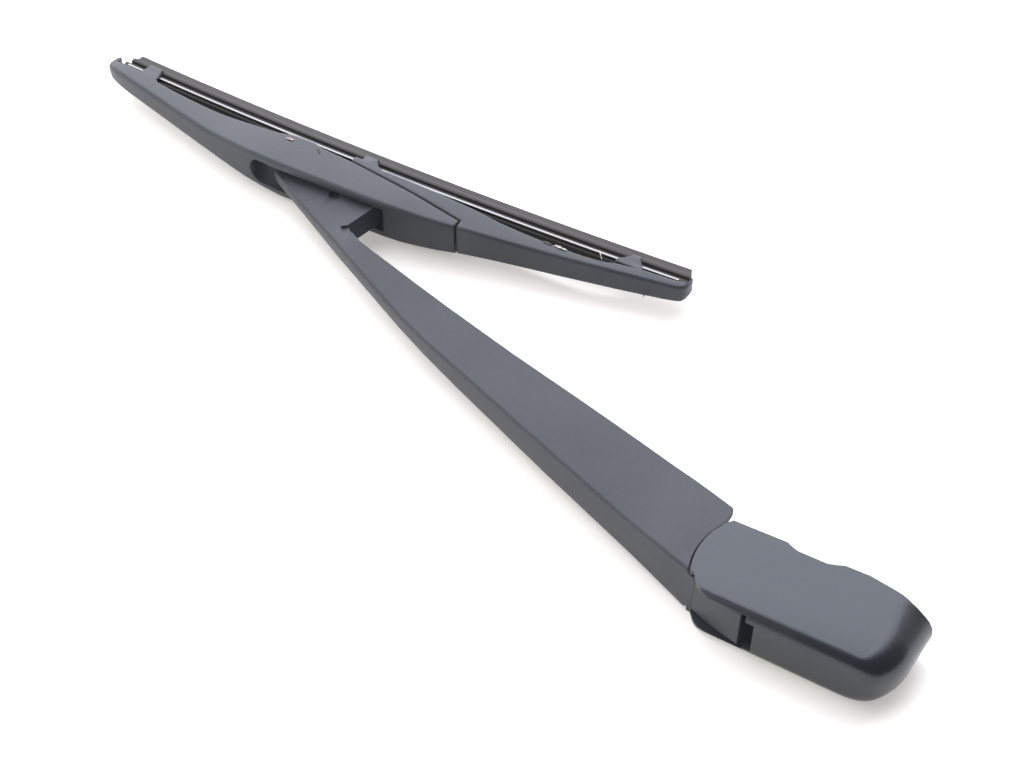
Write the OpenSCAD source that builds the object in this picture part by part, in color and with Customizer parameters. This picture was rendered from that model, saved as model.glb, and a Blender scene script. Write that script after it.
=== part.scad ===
// Rear wiper: an arm on a splined spindle head, with a moulded two-lever blade.
// Origin: centre of the spindle bore at the head's glass-side face.
// +X runs from the spindle towards the blade's free end, +Y points away from the glass,
// and +Z runs across the arm. The part lies on its lower flank.

/* [Head and hinge] */
// Radius of the bore that takes the spindle
bore_r = 5; // [4:0.1:5.5]
// Radius of the boss round the bore
boss_r = 8.2; // [7.5:0.1:8.4]
// Depth of the boss along the spindle
boss_h = 13; // [11:0.5:14]
// Distance of the arm's hinge from the spindle, along X
hinge_x = 38; // [37:0.5:39]
// Distance of the arm's hinge from the glass-side face
hinge_y = 22; // [21.5:0.5:22.5]
// Radius of the hinge pin
hinge_pin_r = 2.5; // [2:0.1:2.5]
// Radial play of every running fit
play = 0.06; // [0.02:0.01:0.1]

/* [Cap] */
// Half the cap's width
cap_half_w = 11; // [10.8:0.1:11.5]
// Height of the cap's outer face above the glass side of the head
cap_top_y = 33.8; // [33.6:0.1:34.6]
// How far the cap's closed end lies behind the spindle
cap_end_x = 24.7; // [24:0.1:25.2]
// Thickness of the cap's wall
cap_wall = 2.2; // [1.8:0.1:2.3]
// Tilt of the cap's rim against the head
cap_tilt = 1.8; // [0:0.2:2.6]
// Radius of the cap's round front edge
cap_front_r = 28; // [27.5:0.1:28.2]
// Radius of the long edges of the cap's outer face
cap_fillet = 4; // [3:0.2:4.2]

/* [Arm] */
// Slope of the arm's open rim towards the glass, in degrees
arm_rim_angle = 16; // [15.6:0.2:16.4]
// Slope of the outer face at the root, as a ratio
arm_back_slope = 0.36; // [0.35:0.01:0.37]
// Radius of the outer face's long bow
arm_bow_r = 3900; // [3600:100:4200]
// Half the arm's width at its root
arm_root_half_w = 10.5; // [10.2:0.1:10.8]
// Half the width of the outer face along the arm's slim part
arm_slim_half_w = 3.8; // [3.6:0.1:4]
// Thickness of the arm's walls
arm_wall = 2.3; // [2:0.1:2.4]

/* [Blade] */
// Distance of the blade's pivot from the spindle, along X
pivot_x = 268; // [267:0.5:269]
// Place of the blade's pivot along Y
pivot_y = -88; // [-88.5:0.5:-87.5]
// Radius of the blade's pivot pin
pivot_pin_r = 2.5; // [2:0.1:2.5]
// Half the blade's width at its middle
blade_half_w = 9.2; // [9:0.1:9.4]
// Thickness of the levers' walls
lever_wall = 2.1; // [1.8:0.1:2.2]
// Radius that the free rubber is bent to
rubber_bend_r = 2555; // [2300:5:3000]
// Thickness of the metal backing strips
strip_t = 1; // [0.8:0.1:1]

/* [Hidden] */

hinge = [hinge_x, hinge_y];
pivot = [pivot_x, pivot_y];
hook = [25, 15.5];           // hook pin of the spring, on the head
anchor = [95, 0];            // anchor pin of the spring, in the arm
yoke_pivot = [226, -87.4];   // where the yoke rocks in the primary lever

// Plan of the head: the cheeks that hold the hinge pin
cheek_half = 5.6;
cheek_slot_half = 2;
lug_r = 6.2;
pin_r_small = 1.75;

// Arm ends
arm_root_x = 50;             // rim corner beside the cap
arm_root_y = -4.5;
arm_leg_x = 249;             // where the tip's leg leaves the rim
arm_fillet = 1.3;
arm_tip_x = 304;
arm_leg_half = 5.2;          // half width of the tip's leg at its lower edge
ear_in = 6.1;                // inner and outer faces of the arm's hinge ears
ear_out = 8.3;
cap_in = cap_half_w - cap_wall;
cap_draft = 0.02;            // each flank leans inwards by this much per height
arc_centre = [25.5, 16];     // centre of the cap's round front edge
cap_window = [24.9, 6.6];    // where the cap's top window starts, and half its width
tongue_half = 8.45;
spring_len = 38;             // from the anchor pin to the link's far end
spring_pull = [anchor.x - hook.x, anchor.y - hook.y];
pull_angle = atan2(spring_pull.y, spring_pull.x);
link_len = norm(spring_pull) - spring_len;
coil_r = 3;
wire_r = 0.6;

// Blade levers
lip_apex = [232, -116.1];    // outermost point of the free lip
blade_end_x = 416;
rubber_x = [119.7, 409];     // both ends of the rubber
slot_x = [246, 315.3];       // slot in the primary lever's back
slot_half = 5.75;
step_x = 213.5;              // butt joint of the two levers' backs
strip_v = 11.45;             // height of the strips above the lip's edge
strip_in = 1.1;
strip_out = 3.9;
claw_half = 4.95;
yoke_pin_r = 1.25;
claw_low_v = 7.3;            // lowest part of the claws above the lip's edge

// Stations along X of the swept shells
arm_xs = [49, 50, 54, 60, 68, 78, 90, 105, 122, 140, 155, 170, 180, 190, 205, 220, 236, 243,
          arm_leg_x, arm_leg_x + 0.4, 262, 272, 280, 290, 300, 302.4, arm_tip_x];
primary_xs = [step_x + 0.6, 222, 230, 238, 246, 258, 266, 271.6, 276, 283, 289, 293, 300, 305,
              311, 318, 326, 334, 342, 350, 358, 366, 374, 381, 385, 387.4, 392, 396.2, 401,
              406, 410, 413, 414.8, blade_end_x];
yoke_xs = [118.1, 118.6, 119.4, 121, 123, 127, 134, 136.4, 142, 148.6, 151.4, 156, 162, 170,
           180, 190, 200, 208, step_x - 0.5, step_x - 0.1, 222, 232, 246, 258, 261.4, 267, 273];

// Arm's rim, outer face, and half width at the face and at the rim, at a place along X
function rim_y(x) = arm_root_y - (x - arm_root_x) * tan(arm_rim_angle)
    - lookup(x, [[50, 0.2], [56, 0.5], [62, 1], [70, 1.4], [95, 1.4], [120, 0.9], [140, 0.5],
                 [165, 0]]);
function back_y(x) = 25.6 - arm_back_slope * (x - 55) - pow(x - 55, 2) / (2 * arm_bow_r)
    - 0.095 * max(0, x - 198);
function arm_half(x) = arm_slim_half_w + (arm_root_half_w - arm_slim_half_w)
    * lookup(x, [[50, 1], [65, 0.78], [80, 0.61], [120, 0.48], [150, 0.33], [170, 0.24],
                 [190, 0.08], [205, 0]])
    - lookup(x, [[250, 0], [280, 1.2]]);
function arm_rim_half(x) = arm_half(x)
    + lookup(x, [[160, 0], [205, 1.2], [236, 1.4], [250, 1.4], [280, 2.6]]);

// Edge of the bent lip at a place along X, and its slope in degrees
function lip_y(x) = lip_apex.y - pow(x - lip_apex.x, 2) / (2 * rubber_bend_r);
function lip_angle(x) = -asin((x - lip_apex.x) / rubber_bend_r);

// Levers: half width, back, lower edge and edge radius along X
function lever_half(x) = lookup(x, [[118.1, 2.9], [118.6, 3.4], [119.4, 3.8], [122, 4.05], [126, 4.2],
    [134, 4.55], [142, 4.85], [158, 5.15], [174, 5.55], [190, 6.05], [206, 6.75], [218, 7.6],
    [230, 8.5], [240, blade_half_w], [300, blade_half_w], [310, 8.8], [318, 8.2], [326, 7.6],
    [334, 6.8], [342, 6.1], [350, 5.8], [366, 5.3], [385, 4.95], [404, 4.6], [410, 4.1],
    [413, 3.4], [416, 2.2]]);
function primary_back(x) = lookup(x, [[213, -85.1], [218, -83.9], [224, -82.7], [236, -81.1],
    [246, -80.5], [258, -80.2], [280, -80.1], [300, -80.1], [310, -80.8], [318, -81.6],
    [326, -82.9], [334, -84.3], [342, -85.9], [350, -87.7], [366, -91.7], [374, -93.8],
    [385, -96.6], [400, -100.4], [408, -102.6], [413, -104.5], [416, -106.8]]);
function primary_edge(x) = lookup(x, [[213, -88.7], [272, -96.9], [280, -97.6], [288, -98],
    [292, -99.6], [306, -99.8], [311, -98.2], [332, -98.4], [349, -99.4], [370, -102],
    [385, -104.7], [387, -106.4], [396, -107.4], [397, -107.8], [406, -108.8], [416, -109.6]]);
function primary_round(x) = lookup(x, [[213, 1.2], [292, 1.4], [316, 1.7], [350, 1.9],
    [410, 1.8], [416, 1.2]]);
function yoke_back(x) = x > step_x - 0.3
    ? -90.1 - (x - 215) * 7.6 / 57
    : lookup(x, [[118.1, -105.6], [118.6, -104.1], [119.4, -102.9], [121, -102], [126, -100.7],
                 [134, -99.2], [150, -96.1], [166, -93.1], [182, -90.5], [198, -87.9],
                 [213, -85.3]]);
function yoke_edge(x) = lookup(x, [[116, -108.6], [120, -107], [122, -105.3], [134, -103.9],
    [136, -103.8], [149, -101], [151, -100], [156, -98.8], [165, -97.7], [185, -97.1], [200, -97.5],
    [211, -98.6], [260, -98.8], [262, -100.8], [274, -100.8]]);
function yoke_round(x) = lookup(x, [[118.1, 0.8], [121, 1.2], [162, 1.3], [213, 1.2],
    [213.4, 0.6], [274, 0.6]]);
function lever_skin(x) = max(1.2, min(lever_wall, lever_half(x) - 3.1));

arc_steps = 5;

// One U-shaped section across X: outer wall first, then the inner wall, as [y, z] pairs.
// The flanks may stand wider at the rim than at the back.
function u_half(back, edge, half, r, rim_half) = concat(
    [[edge, rim_half]],
    [for (k = [0 : arc_steps]) let (a = 90 * k / arc_steps)
        [back - r + r * sin(a), half - r + r * cos(a)]]);
function mirrored(list) = [for (k = [len(list) - 1 : -1 : 0]) [list[k].x, -list[k].y]];
function u_line(back, edge, half, r, rim_half) =
    let (h = u_half(back, edge, half, r, rim_half)) concat(h, mirrored(h));
function u_ring(back, edge, half, r, wall, rim_half) = concat(
    u_line(back, edge, half, r, rim_half),
    [for (k = [2 * arc_steps + 3 : -1 : 0])
        u_line(back - wall, edge, half - wall, max(0.3, r - wall), rim_half - wall)[k]]);

// Closed solid through rings that all have the same number of points.
// Each ring is an open U: its first half is the outer line and its second half the inner one.
module channel(xs, rings) {
    n = len(rings[0]);
    last = len(xs) - 1;
    points = [for (i = [0 : last]) for (p = rings[i]) [xs[i], p.x, p.y]];
    sides = [for (i = [0 : last - 1]) for (j = [0 : n - 1]) let (k = (j + 1) % n, a = i * n, b = a + n)
        each [[a + j, b + k, b + j], [a + j, a + k, b + k]]];
    end = [for (j = [0 : n / 2 - 2]) [j, j + 1, n - 2 - j, n - 1 - j]];
    start = [for (f = end) [for (k = [3 : -1 : 0]) f[k]]];
    polyhedron(points, concat(sides, start, [for (f = end) [for (v = f) v + last * n]]));
}

// Solid between closed convex rings stacked along one direction, closed at both ends
module stack(rings) {
    n = len(rings[0]);
    last = len(rings) - 1;
    points = [for (ring = rings) for (p = ring) p];
    sides = [for (i = [0 : last - 1]) for (j = [0 : n - 1]) let (k = (j + 1) % n, a = i * n, b = a + n)
        each [[a + j, a + k, b + k], [a + j, b + k, b + j]]];
    polyhedron(points, concat([[for (j = [n - 1 : -1 : 0]) j]], sides,
        [[for (j = [0 : n - 1]) j + last * n]]));
}

// Flat slab with its outline in the X-Y plane, between two heights
module slab(z0, z1) {
    translate([0, 0, z0]) linear_extrude(z1 - z0) children();
}

// Slab given on both sides of the middle plane
module both(z0, z1) {
    slab(z0, z1) children();
    slab(-z1, -z0) children();
}

module pin(place, r, half) {
    translate([place.x, place.y, -half]) cylinder(r = r, h = 2 * half, $fn = 48);
}

module disc(place, r) {
    translate(place) circle(r = r, $fn = 64);
}

// Head and its hinge
module head() {
    color("silver") difference() {
        union() {
            rotate([-90, 0, 0]) cylinder(r = boss_r, h = boss_h, $fn = 72);
            slab(-cheek_half, cheek_half) polygon([[0, 2.5], [16, 2.5], [30, 9], [38, 15.8],
                [44.2, 22], [38, 22], [31.8, 19], [23, 19], [14, 12.4], [0, 12.4]]);
            slab(-cheek_half, cheek_half) disc(hinge, lug_r);
        }
        translate([0, -1, 0]) rotate([-90, 0, 0]) cylinder(r = bore_r, h = boss_h + 2, $fn = 72);
        slab(-cheek_slot_half, cheek_slot_half) translate([20.5, -5]) square([30, 40]);
        pin(hinge, hinge_pin_r, 20);
        pin(hook, pin_r_small, 20);
    }
}

module hinge_pin() {
    color("gainsboro") pin(hinge, hinge_pin_r, cap_half_w - 0.8);
}

module spring_hook_pin() {
    color("gainsboro") pin(hook, pin_r_small, cheek_half);
}

// Plan of the cap at a height, as [x, z] pairs with rounded corners at the closed end
function cap_plan(front, rear, half, rx, rz) = concat(
    [[front, -half], [front, half]],
    [for (k = [0 : 6]) [rear + rx - rx * sin(15 * k), half - rz + rz * cos(15 * k)]],
    [for (k = [0 : 6]) [rear + rx - rx * cos(15 * k), rz - half - rz * sin(15 * k)]]);
function cap_long_r(y) = lookup(y, [[0, 15.5], [16, 11], [cap_top_y, 9]]);
function cap_flank(y) = cap_half_w - cap_draft * max(0, y) - cap_edge(y);
function cap_side_r(y) = min(cap_flank(y) - 0.3,
    lookup(y, [[0, 10.7], [16, 9.6], [cap_top_y - cap_fillet, 9], [cap_top_y, 6]]));
function cap_front(y) = arc_centre.x + sqrt(pow(cap_front_r, 2) - pow(y - arc_centre.y, 2));
function cap_rear(y) = y < 16 ? -cap_end_x + y * 0.08
    : -cap_end_x + 1.28 + 11 * (1 - sqrt(1 - pow(min(1, (y - 16) / (cap_top_y - 16)), 2)));
function cap_edge(y) = let (rise = max(0, y - cap_top_y + cap_fillet))
    cap_fillet - sqrt(max(0, pow(cap_fillet, 2) - rise * rise));
cap_levels = concat([-3, 3, 8, 12, 16, 19, 22, 25, 28],
    [for (a = [0 : 15 : 90]) cap_top_y - cap_fillet * (1 - sin(a))]);

module cap_solid() {
    stack([for (y = cap_levels) [for (p = cap_plan(cap_front(y), cap_rear(y), cap_flank(y),
        cap_long_r(y), cap_side_r(y))) [p.x, y, p.y]]]);
}

module cap_cavity() {
    levels = [for (y = cap_levels) if (y < cap_top_y - cap_wall - 0.4) y];
    stack([for (y = concat([-6], levels, [cap_top_y - cap_wall]))
        [for (p = cap_plan(60, cap_rear(y) + cap_wall, cap_in, cap_long_r(y) - 2,
            cap_side_r(y) - cap_wall)) [p.x, y, p.y]]]);
}

module head_cap() {
    color("dimgray") difference() {
        union() {
            difference() {
                cap_solid();
                cap_cavity();
            }
            both(cap_in - 0.4, cap_half_w - 0.6) disc(hinge, 4.6);
            translate([-3, cap_top_y - cap_wall - 3, -cap_in - 0.3])
                cube([1.6, 3.5, 2 * cap_in + 0.6]);
        }
        // The outer face falls off towards the front
        slab(-20, 20) polygon([[31, 40], [31, 33.9], [40, 33.2], [44.5, 32.1], [47.2, 30.2],
            [50, 26.8], [60, 26.8], [60, 40]]);
        // Room for the arm's tongue between the flanks, and a narrower window behind it
        translate([28, 20, -cap_in]) cube([40, 30, 2 * cap_in]);
        translate([cap_window.x, 28, -cap_window.y]) cube([5, 12, 2 * cap_window.y]);
        // Rim, tilted against the head, and its scallop
        rotate([0, 0, cap_tilt]) translate([-60, -20, -20]) cube([160, 18.8, 40]);
        slab(-20, 20) polygon([[0, -5], [0, -1.2], [-7, -0.2], [-12, 0.5], [-16, 1.6],
            [-20, 2.3], [-30, 2.4], [-30, -5]]);
        slab(-20, 20) polygon([[31, -4], [29, -0.4], [27.5, 0.4], [24.5, 1.4], [14, 1.3],
            [11, 0.2], [9, -0.8], [8, -4]]);
        pin(hinge, hinge_pin_r + play, cap_half_w - 0.7);
    }
}

// Arm
function tongue_back(x) = lookup(x, [[30, 32.9], [34.6, 32.1], [39.3, 31], [44.4, 29.4],
    [49.6, 27.5], [58, 24.4]]);
function arm_edge(x) = x < arm_leg_x + 0.1
    ? rim_y(x) - 0.024 * pow(max(0, x - 240), 2) / 1.4
    : lookup(x, [[249, -86], [262, -92], [272, -92], [284, -90.4], [304, -89.6]]);
function arm_top(x) = back_y(x) - 0.09 * pow(max(0, x - arm_tip_x + 4), 2);

module arm_shell() {
    channel(arm_xs, [for (x = arm_xs) u_ring(arm_top(x), arm_edge(x), arm_half(x),
        arm_fillet, x > arm_leg_x ? 1.9 : arm_wall, arm_rim_half(x))]);
}

module arm_ears() {
    back = [for (x = [58, 49.6, 44.4, 39.3, 34.6, 31]) [x, tongue_back(x) - 0.8]];
    both(ear_in, ear_out) polygon(concat(
        [for (a = [180 : 15 : 300]) hinge + 8 * [cos(a), sin(a)]],
        [[52, 2], [64, -1], [64, 14]], back));
}

module arm_tongue() {
    xs = [30, 34.6, 39.3, 44.4, 49.6, 58];
    channel(xs, [for (x = xs)
        u_ring(tongue_back(x), tongue_back(x) - 4.4, tongue_half, 1.6, 2, tongue_half)]);
}

module arm() {
    color("dimgray") difference() {
        union() {
            difference() {
                arm_shell();
                // The root follows the cap's round front edge, but the tongue's face runs through
                slab(-20, 20) intersection() {
                    arm_root();
                    translate([0, -40]) square([80, 61.5]);
                }
                both(tongue_half, 20) arm_root();
                // Rim's dip and the slanted end of the tip's leg
                slab(-20, 20) polygon([[246, -62], [250, -63.7], [253.2, -66.3],
                    [250.4, -79.5], [249.6, -95], [246, -95]]);
            }
            arm_ears();
            arm_tongue();
            for (x = [132, 170, 208]) arm_rib(x);
            slab(-arm_leg_half, arm_leg_half) disc(pivot, 7.8);
            slab(-5, 5) polygon([[253, -65.4], [250.4, -79.5], [249.8, -86], [251.8, -86.6],
                [252.5, -79.5], [255.2, -64]]);
            both(arm_half(anchor.x) - arm_wall - 1.2, arm_half(anchor.x) - 1) disc(anchor, 3.4);
        }
        pin(hinge, hinge_pin_r + play, 20);
        pin(anchor, pin_r_small, arm_half(anchor.x) - 0.9);
        pin(pivot, pivot_pin_r + play, 20);
        slab(-6, 6) translate([pivot.x - 2.1, pivot.y - 20]) square([4.2, 20]);
        both(2.9, 6) disc([pivot.x + 1.6, pivot.y + 7.4], 2.7);
    }
}

// Outline in the X-Y plane of what the cap's front edge takes from the arm's root
module arm_root() {
    disc(arc_centre + [-0.4, 0.6], cap_front_r + 0.9);
    translate([30, -40]) square([20.3, 90]);
    difference() {
        translate([49, -9]) square([3.7, 5.95]);
        disc([52.7, -3.05], 2.4);
    }
}

module arm_rib(x) {
    half = arm_half(x) - arm_wall + 0.4;
    translate([x, back_y(x) - 9, -half]) cube([1.6, 8, 2 * half]);
}

module spring_anchor_pin() {
    color("gainsboro") pin(anchor, pin_r_small, arm_half(anchor.x) - 0.9);
}

// Spring gear
module along_link() {
    translate([hook.x, hook.y, 0]) rotate([0, 0, pull_angle]) children();
}

module spring_link() {
    path = [[0, 0], [3.6, -3.6], [8, -5.8], [14, -6.3], [20, -6], [27, -3.7], [link_len, 0]];
    last = len(path) - 2;
    color("gray") along_link() difference() {
        slab(-1.2, 1.2) polygon(concat(
            [for (a = [70 : 20 : 290]) 3.1 * [cos(a), sin(a)]],
            [for (k = [1 : last]) beside(path, k, -1.6)],
            [for (a = [250 : 20 : 470]) [link_len, 0] + 2.6 * [cos(a), sin(a)]],
            [for (k = [last : -1 : 1]) beside(path, k, 1.6)]));
        pin([0, 0], pin_r_small + play, 5);
        pin([link_len, 0], 1.4, 5);
    }
}

// Place beside the k-th place of a flat path, at a distance to its left
function beside(path, k, d) =
    let (t = path[k + 1] - path[k - 1]) path[k] + d * [-t.y, t.x] / norm(t);

// Round wire along a list of places in space
module wire(path, r, sides) {
    last = len(path) - 1;
    stack([for (i = [0 : last])
        let (t = path[min(last, i + 1)] - path[max(0, i - 1)], u = t / norm(t),
             e = abs(u.z) < 0.8 ? [0, 0, 1] : [0, 1, 0],
             s = cross(u, e) / norm(cross(u, e)), w = cross(s, u))
        [for (k = [0 : sides - 1]) path[i] + r * (cos(360 * k / sides) * s + sin(360 * k / sides) * w)]]);
}

module tension_spring() {
    turns = 16;
    steps = 10;
    body = 1.35;
    start = spring_len - 6 - turns * body;
    coil = [for (i = [0 : turns * steps]) let (a = 360 * i / steps)
        [start + body * i / steps, coil_r * cos(a), coil_r * sin(a)]];
    color("silver") along_link() translate([link_len, 0, 0])
        wire(concat(
            [for (a = [60 : 30 : 300]) [2.3 + 2.6 * cos(a), 0, 2.6 * sin(a)]],
            [[5.4, 0.3, -1.6], [start - 2, coil_r * 0.8, -0.6]],
            coil,
            [[spring_len - 5, coil_r * 0.7, 0], [spring_len - 3.2, 0.6, 0]],
            [for (a = [150 : -40 : -130]) [spring_len + 2.65 * cos(a), 2.65 * sin(a), 0]]),
            wire_r, 8);
}

// Blade
// Upright profile swept along X, in the frame of the bent lip at a place along X.
// The profile's first number is the height above the lip and its second the place across.
module on_lip(x, length) {
    translate([x, lip_y(x), 0]) rotate([0, 0, lip_angle(x)])
        translate([-length / 2, 0, 0]) rotate([90, 0, 90]) linear_extrude(length) children();
}

// One claw: both jaws reach round the strips' edges and under them.
// It runs over base along the lever and tapers to tip along the strips.
module claw(base, tip, top, half) {
    mid = (base.x + base.y) / 2;
    intersection() {
        on_lip(mid, base.y - base.x + 6) for (s = [-1, 1]) scale([1, s])
            polygon([[top, half], [strip_v + 1.9, claw_half], [claw_low_v + 0.5, claw_half],
                [claw_low_v, claw_half - 0.5], [claw_low_v, 3.5], [strip_v - 0.35, 3.25],
                [strip_v - 0.35, 4.25], [strip_v + 1.9, 4.25], [top, half - 1.6]]);
        slab(-20, 20) polygon([[base.x, lip_y(mid) + top + 3], [base.x, lip_y(mid) + top - 1.5],
            [tip.x, lip_y(mid) + 9], [tip.x, lip_y(mid) + 5], [tip.y, lip_y(mid) + 5],
            [tip.y, lip_y(mid) + 9], [base.y, lip_y(mid) + top - 1.5],
            [base.y, lip_y(mid) + top + 3]]);
    }
}

module primary_shell() {
    channel(primary_xs, [for (x = primary_xs) u_ring(primary_back(x), primary_edge(x),
        lever_half(x), primary_round(x), lever_skin(x), lever_half(x))]);
}

module back_slot() {
    translate([slot_x.x, -90, -slot_half])
        cube([slot_x.y - slot_half - slot_x.x, 20, 2 * slot_half]);
    translate([slot_x.y - slot_half, -70, 0]) rotate([90, 0, 0])
        cylinder(r = slot_half, h = 20, $fn = 64);
}

module primary_lever() {
    color("dimgray") union() {
        difference() {
            union() {
                primary_shell();
                both(5.6, blade_half_w - 1.6) disc(pivot, 4.4);
                both(5.1, 7.4) disc(yoke_pivot, 2.6);
                for (x = [319, 345, 368]) lever_rib(x);
            }
            back_slot();
            pin(pivot, pivot_pin_r, blade_half_w - 1);
            pin(yoke_pivot, yoke_pin_r, 7.4);
        }
        claw([386.8, 397], [388.6, 396.4], 15.4, 4.95);
        // Closed nose with a tab that stands in front of the rubber's end
        slab(-3, 3) polygon([[410.4, -104.6], [410.4, -109], [413, -109.4], [413.3, -112.4],
            [413.8, -113.4], [414.6, -113.4], [415.2, -112.2], [415.5, -107.8], [413, -105.6]]);
    }
}

module lever_rib(x) {
    half = lever_half(x) - lever_skin(x) + 0.3;
    translate([x, primary_edge(x) + 1.4, -half])
        cube([1.6, primary_back(x) - 1 - primary_edge(x) - 1.4, 2 * half]);
}

module yoke() {
    inner = 4.7;
    color("dimgray") difference() {
        union() {
            channel(yoke_xs, [for (x = yoke_xs) u_ring(yoke_back(x), yoke_edge(x),
                lever_half(x), yoke_round(x), lever_skin(x), lever_half(x))]);
            // Bulkhead and neck that carry the rocking eye
            slab(-6, 6) polygon([[209, -86.8], [step_x - 0.5, -86.2], [step_x - 0.5, -93.6],
                [209, -93.6]]);
            slab(-inner, inner) polygon([[209, -88.4], [223, -88.4], [225, -85.4], [228.4, -87],
                [230, -92.6], [209, -92.6]]);
            slab(-inner, inner) disc(yoke_pivot, 2.5);
            claw([261.4, 273], [266.6, 273], 16.3, blade_half_w);
            claw([137.4, 149], [140.8, 144.8], 14.8, 4.9);
            // Rounded end behind the rubber
            slab(-2.8, 2.8) polygon([[118, -106.4], [118.3, -105], [119.1, -104.2],
                [119.1, -111.2], [118.5, -111.2], [118, -110]]);
        }
        pin(yoke_pivot, yoke_pin_r + play, 20);
    }
}

module pivot_pin() {
    color("dimgray") pin(pivot, pivot_pin_r, blade_half_w - 1);
}

module yoke_pin() {
    color("gainsboro") pin(yoke_pivot, yoke_pin_r, 7.4);
}

// Profile revolved about the far centre of the lip's bend
module bent(x_from, x_to) {
    translate([lip_apex.x, lip_apex.y - rubber_bend_r, 0])
        rotate_extrude(start = 90 - asin((x_to - lip_apex.x) / rubber_bend_r),
            angle = asin((x_to - lip_apex.x) / rubber_bend_r)
                - asin((x_from - lip_apex.x) / rubber_bend_r), $fn = 2160)
            translate([rubber_bend_r, 0]) children();
}

module wiper_rubber() {
    groove = [strip_v - 0.08, strip_v + strip_t + 0.1];
    half = [[0, 0.3], [4.2, 0.5], [4.4, 1.9], [6.4, 2.2], [7.2, 1.5], [7.4, 0.6], [9.4, 0.6],
            [9.6, 2.9], [groove.x, 2.9], [groove.x, 1], [groove.y, 1], [groove.y, 2.6],
            [groove.y + 1.1, 2.2]];
    color("black") difference() {
        bent(rubber_x.x, rubber_x.y)
            polygon(concat(half, [for (k = [len(half) - 1 : -1 : 0]) [half[k].x, -half[k].y]]));
        // The lip's corner and the spine are cut back at the end nearer to the spindle
        slab(-5, 5) polygon([[115, -125], [122.6, -125], [122.2, -116], [119.9, -111.4],
            [119.9, -108.6], [122.4, -108.2], [122.4, -100], [115, -100]]);
    }
}

module backing_strip(side) {
    bent(123, 406) scale([1, side]) translate([strip_v, strip_in])
        square([strip_t, strip_out - strip_in]);
}

module backing_strip_upper() {
    color("silver") backing_strip(1);
}

module backing_strip_lower() {
    color("silver") backing_strip(-1);
}

head();
hinge_pin();
spring_hook_pin();
head_cap();
arm();
spring_anchor_pin();
tension_spring();
spring_link();
primary_lever();
pivot_pin();
yoke();
yoke_pin();
wiper_rubber();
backing_strip_upper();
backing_strip_lower();
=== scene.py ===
import math

import bmesh
import bpy
from mathutils import Matrix, Vector
from mathutils.bvhtree import BVHTree


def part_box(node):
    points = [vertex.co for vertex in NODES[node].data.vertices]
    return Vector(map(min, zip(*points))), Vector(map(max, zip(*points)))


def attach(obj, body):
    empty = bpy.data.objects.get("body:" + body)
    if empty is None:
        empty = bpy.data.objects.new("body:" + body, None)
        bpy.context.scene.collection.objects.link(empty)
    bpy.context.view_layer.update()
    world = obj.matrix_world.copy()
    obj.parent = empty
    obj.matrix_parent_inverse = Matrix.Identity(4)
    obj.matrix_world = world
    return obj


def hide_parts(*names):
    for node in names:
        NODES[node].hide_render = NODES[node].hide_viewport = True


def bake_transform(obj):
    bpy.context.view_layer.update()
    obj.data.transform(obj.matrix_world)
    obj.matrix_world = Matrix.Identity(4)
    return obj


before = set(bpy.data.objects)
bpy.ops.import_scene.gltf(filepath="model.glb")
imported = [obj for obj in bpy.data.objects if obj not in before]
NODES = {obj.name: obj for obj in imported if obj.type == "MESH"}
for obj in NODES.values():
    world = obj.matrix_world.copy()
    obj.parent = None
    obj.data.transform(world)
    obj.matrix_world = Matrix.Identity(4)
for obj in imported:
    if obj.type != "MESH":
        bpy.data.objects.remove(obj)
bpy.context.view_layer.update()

MM = 0.001
LEVER = NODES["primary_lever"]
YOKE = NODES["yoke"]
FLOOR_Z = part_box("head_cap")[0][2]
HALF_FLOOR = 6.0

# Camera: where the photograph was taken from, in the part's frame
CAMERA_PLACE = Vector((-71.5, 344.2, 432.0)) * MM
CAMERA_LOOK = Vector((0.3642, -0.6061, -0.7071))
CAMERA_RIGHT = Vector((-0.8572, -0.5150, 0.0))
FOCAL_PX = 1640.0
PHOTO_WIDTH_PX = 1024.0
PHOTO_HEIGHT_PX = 768.0
SENSOR_MM = 36.0

# Blade: the bent rubber and its strips, in millimetres as the solids have them
LIP_APEX = (232.0, -116.1)
BEND_R = 2555.0
RUBBER_X = (119.7, 409.0)
RUBBER_STEPS = 180
STRIP_X = (123.0, 406.0)
STRIP_STEPS = 150
STRIP_HEIGHT = (11.45, 12.45)
STRIP_ACROSS = (1.15, 3.9)
STRIP_EDGE = 0.06

# Heights above the lip's edge: the neck between lip and spine, and the top of the lip's worn paler
# side, above which the spine is darkened as painted shade
NECK_LOW = 6.4
NECK_HIGH = 10.2
LIP_TOP = 6.8

# Claws of the levers: range along X, and the flank's half width at both ends of it
LEVER_CLAW = (386.8, 397.0, 4.92, 4.73)
YOKE_CLAW = (137.4, 149.0, 4.67, 4.98)

# Where the leg of the arm's tip leaves the rim, along X; its end face there gets painted shade
LEG_X = 249.0

# Worn spots of the plastic: centre and reach, in millimetres
ARM_WORN = [((264.0, -70.0, 5.2), 1.6)]
CAP_WORN = [((-21.5, 4.0, 9.5), 2.4), ((-22.6, 8.0, 8.6), 1.8)]

# Dirt on the blade, by the photograph's pixels: both ends of each bit, and the lint's root
LEAF_A_PX = [(286.5, 138.6), (294.0, 140.4)]
LEAF_B_PX = [(317.6, 147.6), (320.2, 153.4)]
LEAF_C_PX = [(543.5, 239.2), (552.0, 243.0)]
LEAF_D_PX = [(554.5, 243.8), (567.5, 248.4)]
CRUMB_PX = [(470.5, 198.6), (477.5, 201.4)]
HAIR_PX = [(599.0, 250.5), (602.0, 259.5)]
LINT_PX = (647.0, 292.5)
HAIR_R = 0.17
HAIR_LIFT = 0.35
LINT_R = 0.22

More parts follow.
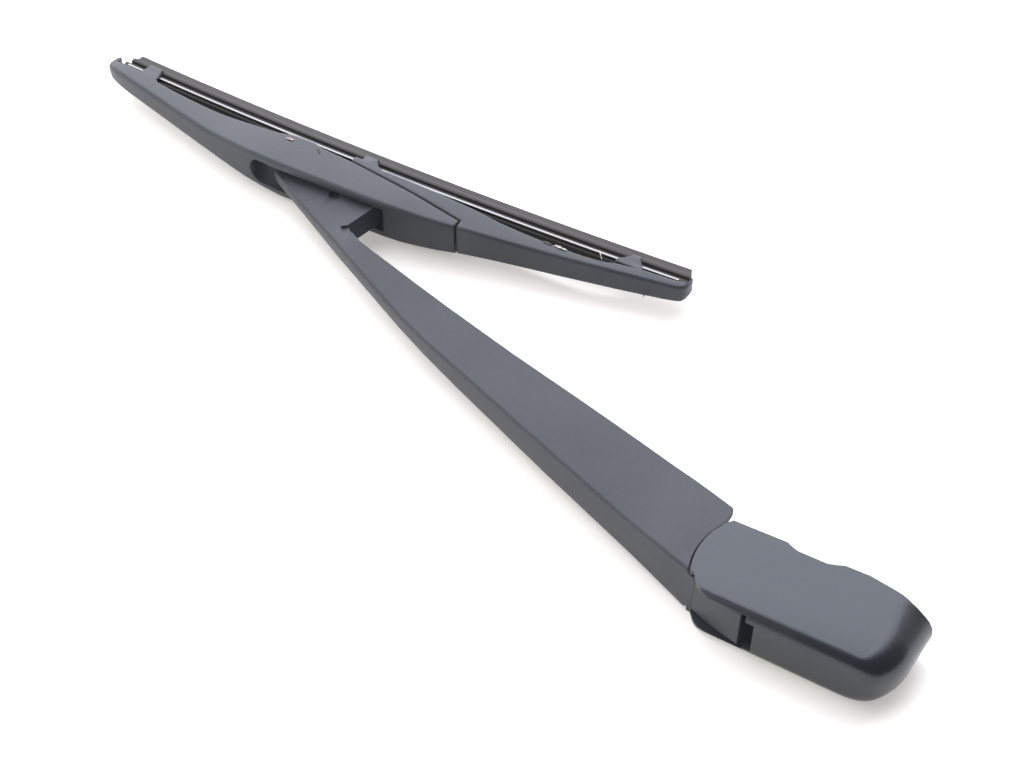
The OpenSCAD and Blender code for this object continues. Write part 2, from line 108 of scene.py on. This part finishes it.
# Light: a window behind the object, in a pale room that is dark on the camera's side
MIDDLE = Vector((0.2, -0.045, 0.0))
WINDOW_WAY = Vector((0.364, -0.606, 0.707))
WINDOW_FAR = 3.5
WINDOW_SIZE = 5.6
WINDOW_POWER = 180.0
WINDOW_COLOR = (0.77, 0.845, 1.0)
DARK_WAY = Vector((-0.75, 0.45, 0.48))
ROOM_LIGHT = 2.0
DARK_LIGHT = 0.03
ROOM_COLOR = (1.0, 0.98, 0.96, 1.0)

# Light that the over-exposed paper gives back by itself, and the painted glow that the plastic and
# rubber give off to stand in for its glare on black
FLOOR_GLOW = 0.36
PAINTED_GLARE = 0.016

# Colours
BLACK = (0.037, 0.038, 0.044)
BLEACHED = (0.054, 0.055, 0.062)
CAP_BLACK = (0.010, 0.0105, 0.014)
CAP_BLEACHED = (0.017, 0.0175, 0.022)
# Painted shade: plastic inside channels, darker than BLACK
PAINTED_SHADE_BLACK = (0.02, 0.022, 0.03)
WORN = (0.16, 0.16, 0.165)
COOL_SHINE = (0.90, 0.94, 1.0, 1.0)
# Colours of the painted glow on plastic and on rubber
COOL_PAINTED_GLARE = (0.74, 0.82, 1.0)
WARM_PAINTED_GLARE = (1.0, 0.93, 0.93)
PAPER_GLOW = (1.0, 0.965, 0.93)


# Node helpers
def new_material(name):
    """A material with one principled shader, its node tree and that shader."""
    mat = bpy.data.materials.new(name)
    mat.use_nodes = True
    tree = mat.node_tree
    tree.nodes.clear()
    out = tree.nodes.new("ShaderNodeOutputMaterial")
    shader = tree.nodes.new("ShaderNodeBsdfPrincipled")
    tree.links.new(shader.outputs["BSDF"], out.inputs["Surface"])
    return mat, tree, shader


def noise(tree, scale, detail=4.0, rough=0.55, stretch=(1, 1, 1)):
    """A noise value over the object's own coordinates."""
    coords = tree.nodes.new("ShaderNodeTexCoord")
    mapping = tree.nodes.new("ShaderNodeMapping")
    mapping.inputs["Scale"].default_value = stretch
    tex = tree.nodes.new("ShaderNodeTexNoise")
    tex.inputs["Scale"].default_value = scale
    tex.inputs["Detail"].default_value = detail
    tex.inputs["Roughness"].default_value = rough
    tree.links.new(coords.outputs["Object"], mapping.inputs["Vector"])
    tree.links.new(mapping.outputs["Vector"], tex.inputs["Vector"])
    return tex.outputs["Fac"]


def ramp(tree, value, stops):
    """A colour that follows a value through (place, colour) stops."""
    node = tree.nodes.new("ShaderNodeValToRGB")
    while len(node.color_ramp.elements) < len(stops):
        node.color_ramp.elements.new(0.5)
    for element, (place, color) in zip(node.color_ramp.elements, stops):
        element.position = place
        element.color = (*color, 1.0)
    tree.links.new(value, node.inputs["Fac"])
    return node.outputs["Color"]


def mix(tree, factor, a, b):
    """A mix of two colours, each a link or a plain colour, by a link or a number."""
    node = tree.nodes.new("ShaderNodeMix")
    node.data_type = "RGBA"
    if isinstance(factor, float):
        node.inputs["Factor"].default_value = factor
    else:
        tree.links.new(factor, node.inputs["Factor"])
    for side, value in (("A", a), ("B", b)):
        socket = [s for s in node.inputs if s.name == side and s.type == "RGBA"][0]
        if isinstance(value, tuple):
            socket.default_value = (*value, 1.0)
        else:
            tree.links.new(value, socket)
    return [s for s in node.outputs if s.type == "RGBA"][0]


def vary_roughness(tree, shader, value, low, high):
    """Roughness from one level to another, each given as (place of the value, level)."""
    stops = [(place, (level,) * 3) for place, level in (low, high)]
    tree.links.new(ramp(tree, value, stops), shader.inputs["Roughness"])


def glow(shader, color, strength):
    """Light that a surface gives back by itself."""
    shader.inputs["Emission Color"].default_value = (*color, 1.0)
    shader.inputs["Emission Strength"].default_value = strength


def bump(tree, shader, heights, edge=0.0):
    """Adds (height, strength, distance) bumps to a shader, over softened edges."""
    normal = None
    if edge:
        soft = tree.nodes.new("ShaderNodeBevel")
        soft.samples = 6
        soft.inputs["Radius"].default_value = edge
        normal = soft.outputs["Normal"]
    for height, strength, distance in heights:
        node = tree.nodes.new("ShaderNodeBump")
        node.inputs["Strength"].default_value = strength
        node.inputs["Distance"].default_value = distance
        tree.links.new(height, node.inputs["Height"])
        if normal:
            tree.links.new(normal, node.inputs["Normal"])
        normal = node.outputs["Normal"]
    tree.links.new(normal, shader.inputs["Normal"])


# Materials
def worn_spot(tree, color, center, reach):
    """Pale scuffed plastic round a place of the object, both in millimetres."""
    coords = tree.nodes.new("ShaderNodeTexCoord")
    gap = tree.nodes.new("ShaderNodeVectorMath")
    gap.operation = "DISTANCE"
    gap.inputs[1].default_value = tuple(MM * c for c in center)
    fade = tree.nodes.new("ShaderNodeMapRange")
    fade.inputs["From Min"].default_value = 0.3 * reach * MM
    fade.inputs["From Max"].default_value = reach * MM
    fade.inputs["To Min"].default_value = 0.8
    fade.inputs["To Max"].default_value = 0.0
    broken = tree.nodes.new("ShaderNodeMath")
    broken.operation = "MULTIPLY"
    tree.links.new(coords.outputs["Object"], gap.inputs[0])
    tree.links.new(gap.outputs["Value"], fade.inputs["Value"])
    tree.links.new(fade.outputs["Result"], broken.inputs[0])
    tree.links.new(noise(tree, 1500.0, 3.0, 0.6, (1.0, 0.4, 1.0)), broken.inputs[1])
    return mix(tree, broken.outputs["Value"], color, WORN)


def moulded_plastic(name, base, dust, cloud_scale, gloss, edge_mm, rough, worn=()):
    """Black moulded plastic, bleached by the sun, with fine grain, faint dust and worn spots."""
    mat, tree, shader = new_material(name)
    cloud = noise(tree, cloud_scale, 5.0, 0.6)
    speck = noise(tree, 900.0, 2.0, 0.5)
    streak = noise(tree, 60.0, 3.0, 0.5, (0.25, 1.0, 1.0))
    grain = noise(tree, 2600.0, 2.0, 0.6)
    wave = noise(tree, 95.0, 2.0, 0.5)
    tint = ramp(tree, cloud, [(0.35, base), (0.68, dust)])
    spots = ramp(tree, speck, [(0.55, (0, 0, 0)), (0.78, (0.3, 0.3, 0.3))])
    color = mix(tree, spots, tint, tuple(1.35 * c for c in dust))
    color = mix(tree, 0.12, color, ramp(tree, streak, [(0.3, base), (0.7, dust)]))
    for center, reach in worn:
        color = worn_spot(tree, color, center, reach)
    tree.links.new(color, shader.inputs["Base Color"])
    vary_roughness(tree, shader, cloud, (0.3, rough), (0.75, rough + 0.08))
    shader.inputs["Specular IOR Level"].default_value = gloss
    shader.inputs["Specular Tint"].default_value = COOL_SHINE
    # Painted glow: a faint light of the plastic's own that stands in for glare on black
    glow(shader, COOL_PAINTED_GLARE, PAINTED_GLARE)
    bump(tree, shader, [(wave, 0.06, 0.0006), (grain, 0.3, 0.00012)], edge=edge_mm * MM)
    return mat


def bare_metal(name, color, rough, stretch):
    """Bare metal with fine mottling, drawn out into lines along an axis with a small stretch."""
    mat, tree, shader = new_material(name)
    lines = noise(tree, 240.0, 4.0, 0.6, stretch)
    tint = ramp(tree, lines, [(0.3, tuple(0.8 * c for c in color)), (0.7, color)])
    tree.links.new(tint, shader.inputs["Base Color"])
    shader.inputs["Metallic"].default_value = 1.0
    vary_roughness(tree, shader, lines, (0.3, rough), (0.7, rough + 0.14))
    bump(tree, shader, [(lines, 0.12, 0.0001)], edge=0.0002)
    return mat


def dull_rubber(name, dark, pale):
    """Dull rubber, smeared with dust along its length."""
    mat, tree, shader = new_material(name)
    smear = noise(tree, 45.0, 5.0, 0.65, (0.2, 1.0, 1.0))
    grit = noise(tree, 1400.0, 2.0, 0.6)
    tint = ramp(tree, smear, [(0.32, dark), (0.7, pale)])
    tree.links.new(tint, shader.inputs["Base Color"])
    vary_roughness(tree, shader, smear, (0.3, 0.5), (0.7, 0.7))
    shader.inputs["Specular IOR Level"].default_value = 0.32
    # Painted glow: a faint light of the rubber's own that stands in for glare on black
    glow(shader, WARM_PAINTED_GLARE, PAINTED_GLARE)
    bump(tree, shader, [(grit, 0.2, 0.0001)])
    return mat


def dry_dirt(name, pale, brown):
    """Blotched dry matter, for leaf bits, crumbs and fibres."""
    mat, tree, shader = new_material(name)
    blotch = noise(tree, 900.0, 4.0, 0.6)
    tree.links.new(ramp(tree, blotch, [(0.35, brown), (0.6, pale)]), shader.inputs["Base Color"])
    shader.inputs["Roughness"].default_value = 0.75
    bump(tree, shader, [(blotch, 0.4, 0.0002)])
    return mat


def floor_paper():
    """Over-exposed white paper."""
    mat, tree, shader = new_material("floor_paper")
    fleck = noise(tree, 40.0, 5.0, 0.6)
    tint = ramp(tree, fleck, [(0.3, (0.93, 0.91, 0.88)), (0.7, (0.95, 0.93, 0.90))])
    tree.links.new(tint, shader.inputs["Base Color"])
    shader.inputs["Roughness"].default_value = 0.8
    glow(shader, PAPER_GLOW, FLOOR_GLOW)
    bump(tree, shader, [(fleck, 0.05, 0.0005)])
    return mat


PLASTIC_ARM = moulded_plastic("plastic_arm", BLACK, BLEACHED, cloud_scale=22.0, gloss=0.25,
                              edge_mm=0.6, rough=0.38, worn=ARM_WORN)
PLASTIC_CAP = moulded_plastic("plastic_cap", CAP_BLACK, CAP_BLEACHED, cloud_scale=29.0, gloss=0.54,
                              edge_mm=0.4, rough=0.18, worn=CAP_WORN)
PLASTIC_BLADE = moulded_plastic("plastic_blade", BLACK, BLEACHED, cloud_scale=35.0, gloss=0.32,
                                edge_mm=1.2, rough=0.38)
# Painted shade: darker, duller plastic for the inside of channels and the arm leg's end face
PLASTIC_PAINTED_SHADE = moulded_plastic("plastic_painted_shade", PAINTED_SHADE_BLACK, BLACK, cloud_scale=27.0, gloss=0.15,
                                edge_mm=0.3, rough=0.5)
CAST = bare_metal("cast_head", (0.42, 0.43, 0.44), 0.5, (1, 1, 1))
STEEL = bare_metal("steel_pins", (0.58, 0.58, 0.57), 0.3, (1, 1, 0.1))
STRIP = bare_metal("steel_strip", (0.34, 0.325, 0.325), 0.45, (0.04, 1, 1))
RUBBER = dull_rubber("lip_rubber", (0.024, 0.020, 0.020), (0.048, 0.041, 0.041))
# Painted shade: darker rubber for the spine, standing in for the shaded groove by the strips
SPINE_PAINTED_SHADE = dull_rubber("spine_rubber_painted_shade", (0.014, 0.013, 0.014), (0.03, 0.028, 0.028))
STRAW = dry_dirt("dry_leaf", (0.72, 0.68, 0.64), (0.30, 0.22, 0.16))
CRUMB = dry_dirt("dark_crumb", (0.10, 0.08, 0.07), (0.02, 0.018, 0.017))
LINT = dry_dirt("lint", (0.12, 0.11, 0.105), (0.05, 0.047, 0.045))


# Moulded shells and metal pieces
def gets_painted_shade(face, roof_mm, end_x):
    """True for a face that gets painted shade: on the inner side of a channel's walls, under its
    roof, or on its end.
    """
    wall_facing = 0.5
    wall_from_mm = 1.0
    roof_facing = 0.6
    end_reach_mm = 9.0
    center = face.calc_center_median() / MM
    outwards = face.normal.z * math.copysign(1.0, center.z)
    on_wall = outwards < -wall_facing and abs(center.z) > wall_from_mm
    under_roof = face.normal.y < -roof_facing and abs(center.z) < roof_mm
    near_end = end_x is not None and abs(center.x - end_x) < end_reach_mm
    return on_wall or under_roof or (near_end and face.normal.x < -roof_facing)


def sink_claw(bm, claw):
    """Brings a claw's outer faces level with the lever's flanks, as in the photograph."""
    x_from, x_to, half_from, half_to = claw
    for vert in bm.verts:
        t = (vert.co.x / MM - x_from) / (x_to - x_from)
        half = (half_from + (half_to - half_from) * t) * MM
        if -0.03 < t < 1.03 and abs(vert.co.z) > half:
            vert.co.z = math.copysign(half, vert.co.z)


def finer_shell(node, body, mat, edge_mm, roof_mm, end_x=None, claw=None):
    """A copy of a solid with smooth faces, a small round on its sharp edges and painted shade on
    its inside.
    """
    obj = bpy.data.objects.new(node + "_shell", NODES[node].data.copy())
    bpy.context.scene.collection.objects.link(obj)
    mesh = obj.data
    mesh.materials.clear()
    mesh.materials.append(mat)
    mesh.materials.append(PLASTIC_PAINTED_SHADE)
    bm = bmesh.new()
    bm.from_mesh(mesh)
    bmesh.ops.remove_doubles(bm, verts=bm.verts, dist=0.00001)
    if claw:
        sink_claw(bm, claw)
    bmesh.ops.dissolve_limit(bm, angle_limit=math.radians(0.3), verts=bm.verts, edges=bm.edges)
    for face in bm.faces:
        face.smooth = True
        # Faces inside the channel get the darker, duller plastic as painted shade
        face.material_index = 1 if gets_painted_shade(face, roof_mm, end_x) else 0
    bm.to_mesh(mesh)
    bm.free()
    mesh.set_sharp_from_angle(angle=math.radians(32))
    bevel = obj.modifiers.new("edge", "BEVEL")
    bevel.width = edge_mm * MM
    bevel.segments = 2
    bevel.limit_method = "ANGLE"
    bevel.angle_limit = math.radians(50)
    bevel.harden_normals = True
    bevel.use_clamp_overlap = True
    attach(obj, body)
    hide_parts(node)


def paint(node, mat):
    """Gives a solid of the frame its material."""
    for held in NODES[node].material_slots:
        held.material = mat


finer_shell("head_cap", "cap", PLASTIC_CAP, edge_mm=0.35, roof_mm=9.0)
finer_shell("arm", "arm", PLASTIC_ARM, edge_mm=0.3, roof_mm=6.0, end_x=LEG_X)
finer_shell("primary_lever", "blade", PLASTIC_BLADE, edge_mm=0.25, roof_mm=6.5, claw=LEVER_CLAW)
finer_shell("yoke", "yoke", PLASTIC_BLADE, edge_mm=0.25, roof_mm=4.5, claw=YOKE_CLAW)
paint("head", CAST)
paint("pivot_pin", PLASTIC_BLADE)
for name in ("hinge_pin", "spring_hook_pin", "spring_anchor_pin", "tension_spring",
             "spring_link", "yoke_pin"):
    paint(name, STEEL)


# Rubber and backing strips
def lip_place(x, height, across):
    """A place in the bent lip's frame: along X, above the lip's edge and across, in millimetres."""
    turn = math.asin((x - LIP_APEX[0]) / BEND_R)
    reach = BEND_R + height
    return Vector((LIP_APEX[0] + reach * math.sin(turn),
                   LIP_APEX[1] - BEND_R + reach * math.cos(turn), across)) * MM


def lip_height(place):
    """Height in millimetres above the bent lip's edge of a place in metres."""
    rise = place.y / MM - LIP_APEX[1] + BEND_R
    return math.hypot(place.x / MM - LIP_APEX[0], rise) - BEND_R


def new_object(name, verts, faces):
    """An object with a closed mesh whose faces all look outwards."""
    mesh = bpy.data.meshes.new(name)
    mesh.from_pydata(verts, [], faces)
    obj = bpy.data.objects.new(name, mesh)
    bpy.context.scene.collection.objects.link(obj)
    bm = bmesh.new()
    bm.from_mesh(mesh)
    bmesh.ops.recalc_face_normals(bm, faces=bm.faces)
    bm.to_mesh(mesh)
    bm.free()
    return obj


def swept(name, outline, x_from, x_to, steps, start_at=None):
    """A solid with a closed outline of (height, across) places, swept along the bent lip."""
    verts = []
    faces = []
    count = len(outline)
    for i in range(steps + 1):
        for height, across in outline:
            first = start_at(height) if start_at else x_from
            x = max(x_from + (x_to - x_from) * i / steps, first + 0.02 * i)
            verts.append(lip_place(x, height, across))
    for i in range(steps):
        for k in range(count):
            a = i * count + k
            b = i * count + (k + 1) % count
            faces.append((a, b, b + count, a + count))
    faces.append(tuple(range(count - 1, -1, -1)))
    faces.append(tuple(steps * count + k for k in range(count)))
    obj = new_object(name, verts, faces)
    for face in obj.data.polygons:
        face.use_smooth = len(face.vertices) == 4
    obj.data.set_sharp_from_angle(angle=math.radians(30))
    return obj


def bend_with_levers(obj):
    """Bakes the transform of a long piece, one that passes from the primary lever to the yoke, into
    its mesh.
    """
    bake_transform(obj)


def rubber_start(height):
    """Where the rubber begins along X: the lip's corner is cut slanting, the spine square."""
    spine_x = 122.4
    neck_x = 119.9
    slant = 0.4
    if height > NECK_HIGH:
        return spine_x
    if height > NECK_LOW:
        return neck_x
    return spine_x - slant * height


def rubber_outline():
    """The rubber's closed outline of (height above the lip's edge, across) places."""
    lip = [(0.0, 0.28), (1.6, 0.36), (4.1, 0.48), (4.35, 1.7), (4.7, 1.95), (6.3, 2.15),
           (6.9, 1.9), (7.25, 0.75), (7.6, 0.58)]
    spine = [(9.2, 0.58), (9.45, 0.9), (9.6, 2.6), (9.8, 2.9), (11.2, 2.9), (11.37, 2.75),
             (11.37, 1.0), (12.55, 1.0), (12.55, 2.45), (12.75, 2.6), (13.45, 2.4), (13.65, 2.0)]
    half = lip + spine
    return half + [(height, -across) for height, across in reversed(half)]


def wiper_rubber():
    """The bent rubber, its lip side worn paler, its spine darker as painted shade."""
    obj = swept("squeegee", rubber_outline(), *RUBBER_X, RUBBER_STEPS, rubber_start)
    obj.data.materials.append(RUBBER)
    obj.data.materials.append(SPINE_PAINTED_SHADE)
    for face in obj.data.polygons:
        heights = [lip_height(obj.data.vertices[v].co) for v in face.vertices]
        # Faces above the lip's top get the spine's painted shade
        face.material_index = 1 if min(heights) > LIP_TOP and len(heights) == 4 else 0
    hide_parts("wiper_rubber")
    bend_with_levers(obj)
    return obj


def backing_strip(name, node, side):
    """A steel strip with broken outer edges, on one side of the rubber."""
    low, high = STRIP_HEIGHT
    near, far = STRIP_ACROSS
    edge = [(low, near), (low, far - STRIP_EDGE), (low + STRIP_EDGE, far),
            (high - STRIP_EDGE, far), (high, far - STRIP_EDGE), (high, near)]
    outline = [(height, side * across) for height, across in edge]
    obj = swept(name, outline, *STRIP_X, STRIP_STEPS)
    obj.data.materials.append(STRIP)
    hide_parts(node)
    bend_with_levers(obj)


squeegee = wiper_rubber()
backing_strip("strip_upper", "backing_strip_upper", 1)
backing_strip("strip_lower", "backing_strip_lower", -1)


# Dirt that the photograph shows on the blade
def dirt_piece(name, verts, faces, body, mat):
    """A small smooth piece of dirt that rides on a body."""
    obj = new_object(name, verts, faces)
    obj.data.materials.append(mat)
    for face in obj.data.polygons:
        face.use_smooth = True
    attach(obj, body)


def sheet_faces(rows, columns):
    """Faces of a closed sheet: a grid of places row by row, then its underside."""
    count = rows * columns
    faces = []
    for i in range(rows - 1):
        for k in range(columns - 1):
            a = i * columns + k
            faces.append((a, a + 1, a + columns + 1, a + columns))
            faces.append((count + a, count + a + columns, count + a + columns + 1, count + a + 1))
        for a in (i * columns, i * columns + columns - 1):
            faces.append((a, a + columns, count + a + columns, count + a))
    for k in range(columns - 1):
        for a in (k, (rows - 1) * columns + k):
            faces.append((a, a + 1, count + a + 1, count + a))
    return faces


def seen_at(pixel, solid):
    """Place and face direction of a solid at the photograph's pixel, or just below it."""
    tries = 20
    step_px = 0.5
    facing_up = 0.5
    mesh = solid.data
    tree = BVHTree.FromPolygons([v.co for v in mesh.vertices],
                                [tuple(p.vertices) for p in mesh.polygons])
    look = CAMERA_LOOK.normalized()
    right = CAMERA_RIGHT.normalized()
    across = (pixel[0] - PHOTO_WIDTH_PX / 2) / FOCAL_PX
    for step in range(tries):
        down = (pixel[1] + step_px * step - PHOTO_HEIGHT_PX / 2) / FOCAL_PX
        way = look + across * right - down * right.cross(look)
        place, facing, _, _ = tree.ray_cast(CAMERA_PLACE, way.normalized())
        if place is not None and facing.y + facing.z > facing_up:
            return place, facing
    raise ValueError(f"no face of {solid.name} near pixel {pixel}")


def flake(name, ends, solid, body, width_mm, curl_mm, mat):
    """A thin curled flake that lies on a solid between two pixels of the photograph."""
    start, facing = seen_at(ends[0], solid)
    stop, _ = seen_at(ends[1], solid)
    side = facing.cross(stop - start).normalized()
    long_steps = 10
    wide_steps = 4
    thick = 0.12 * MM
    verts = []
    for layer in (0.0, thick):
        for i in range(long_steps + 1):
            t = i / long_steps
            # Narrow at both ends, with uneven sides
            half = 0.5 * width_mm * MM * math.sin(math.pi * (0.12 + 0.8 * t)) ** 0.7
            half *= 1.0 + 0.22 * math.sin(17.0 * t + width_mm)
            for k in range(wide_steps + 1):
                w = 2.0 * k / wide_steps - 1.0
                rise = curl_mm * MM * (0.25 + 0.5 * w * w + 0.35 * math.sin(5.0 * t + w))
                verts.append(start.lerp(stop, t) + side * half * w + facing * (abs(rise) + layer))
    dirt_piece(name, verts, sheet_faces(long_steps + 1, wide_steps + 1), body, mat)


def fibre(name, places, radius_mm, body, mat):
    """A thin round thread through a few places in metres, half as thick at its ends."""
    sides = 6
    askew = Vector((0.3, 0.5, 0.8))
    last = len(places) - 1
    verts = []
    faces = []
    for i, place in enumerate(places):
        ahead = places[min(i + 1, last)] - places[max(i - 1, 0)]
        across = ahead.cross(askew).normalized()
        over = ahead.cross(across).normalized()
        radius = radius_mm * MM * (0.5 if i in (0, last) else 1.0)
        for k in range(sides):
            angle = 2.0 * math.pi * k / sides
            verts.append(place + radius * (math.cos(angle) * across + math.sin(angle) * over))
    for i in range(last):
        for k in range(sides):
            a = i * sides + k
            b = i * sides + (k + 1) % sides
            faces.append((a, b, b + sides, a + sides))
    faces.append(tuple(range(sides - 1, -1, -1)))
    faces.append(tuple(last * sides + k for k in range(sides)))
    dirt_piece(name, verts, faces, body, mat)


def hair():
    """A hair that bows from the upper strip to the yoke's flank."""
    top, facing = seen_at(HAIR_PX[0], NODES["backing_strip_upper"])
    foot, _ = seen_at(HAIR_PX[1], YOKE)
    lift = HAIR_LIFT * MM * facing
    places = [top + lift, top.lerp(foot, 0.35) + 2.4 * lift, top.lerp(foot, 0.7) + 1.9 * lift,
              foot + 0.8 * lift]
    fibre("hair", places, HAIR_R, "yoke", STRAW)


def lint():
    """A short thread that hangs off the yoke's edge."""
    root, _ = seen_at(LINT_PX, YOKE)
    bends_mm = [(0.0, 0.0, 0.0), (0.2, 0.5, -0.6), (0.9, 1.0, -1.2), (1.2, 1.4, -2.0)]
    fibre("lint", [root + Vector(bend) * MM for bend in bends_mm], LINT_R, "yoke", LINT)


flake("leaf_bit_a", LEAF_A_PX, LEVER, "blade", 1.2, 0.3, STRAW)
flake("leaf_bit_b", LEAF_B_PX, LEVER, "blade", 0.8, 0.3, LINT)
flake("leaf_bit_c", LEAF_C_PX, YOKE, "yoke", 0.9, 0.25, LINT)
flake("leaf_bit_d", LEAF_D_PX, YOKE, "yoke", 1.1, 0.3, STRAW)
flake("crumb_a", CRUMB_PX, squeegee, "blade", 0.8, 0.15, CRUMB)
hair()
lint()


# Floor, light and camera
def paper_floor():
    """A wide sheet of paper under the cap, which is where the part touches it."""
    mesh = bpy.data.meshes.new("floor")
    corners = [(-HALF_FLOOR, -HALF_FLOOR, FLOOR_Z), (HALF_FLOOR, -HALF_FLOOR, FLOOR_Z),
               (HALF_FLOOR, HALF_FLOOR, FLOOR_Z), (-HALF_FLOOR, HALF_FLOOR, FLOOR_Z)]
    mesh.from_pydata(corners, [], [(0, 1, 2, 3)])
    floor = bpy.data.objects.new("floor", mesh)
    bpy.context.scene.collection.objects.link(floor)
    floor.data.materials.append(floor_paper())


def window_light():
    """A round soft window that the flanks reflect."""
    data = bpy.data.lights.new("window", "AREA")
    data.shape = "DISK"
    data.size = WINDOW_SIZE
    data.energy = WINDOW_POWER
    data.color = WINDOW_COLOR
    light = bpy.data.objects.new("window", data)
    light.location = MIDDLE + WINDOW_FAR * WINDOW_WAY
    light.rotation_euler = (-WINDOW_WAY).to_track_quat("-Z", "Y").to_euler()
    bpy.context.scene.collection.objects.link(light)


def room_light():
    """World light of a pale room that is dark on the photographer's side."""
    world = bpy.data.worlds.new("studio")
    world.use_nodes = True
    tree = world.node_tree
    back = tree.nodes["Background"]
    coords = tree.nodes.new("ShaderNodeTexCoord")
    side = tree.nodes.new("ShaderNodeVectorMath")
    side.operation = "DOT_PRODUCT"
    side.inputs[1].default_value = DARK_WAY.normalized()
    fade = tree.nodes.new("ShaderNodeMapRange")
    fade.interpolation_type = "SMOOTHSTEP"
    fade.inputs["From Min"].default_value = 0.2
    fade.inputs["From Max"].default_value = 0.5
    fade.inputs["To Min"].default_value = ROOM_LIGHT
    fade.inputs["To Max"].default_value = DARK_LIGHT
    tree.links.new(coords.outputs["Generated"], side.inputs[0])
    tree.links.new(side.outputs["Value"], fade.inputs["Value"])
    tree.links.new(fade.outputs["Result"], back.inputs["Strength"])
    back.inputs["Color"].default_value = ROOM_COLOR
    bpy.context.scene.world = world


def photo_camera():
    """The camera of the photograph."""
    data = bpy.data.cameras.new("camera")
    data.sensor_width = SENSOR_MM
    data.lens = SENSOR_MM * FOCAL_PX / PHOTO_WIDTH_PX
    data.clip_start = 0.01
    camera = bpy.data.objects.new("camera", data)
    look = CAMERA_LOOK.normalized()
    right = CAMERA_RIGHT.normalized()
    turn = Matrix((right, right.cross(look), -look)).transposed().to_4x4()
    camera.matrix_world = Matrix.Translation(CAMERA_PLACE) @ turn
    bpy.context.scene.collection.objects.link(camera)
    bpy.context.scene.camera = camera


paper_floor()
window_light()
room_light()
photo_camera()
bpy.context.scene.view_settings.view_transform = "Standard"
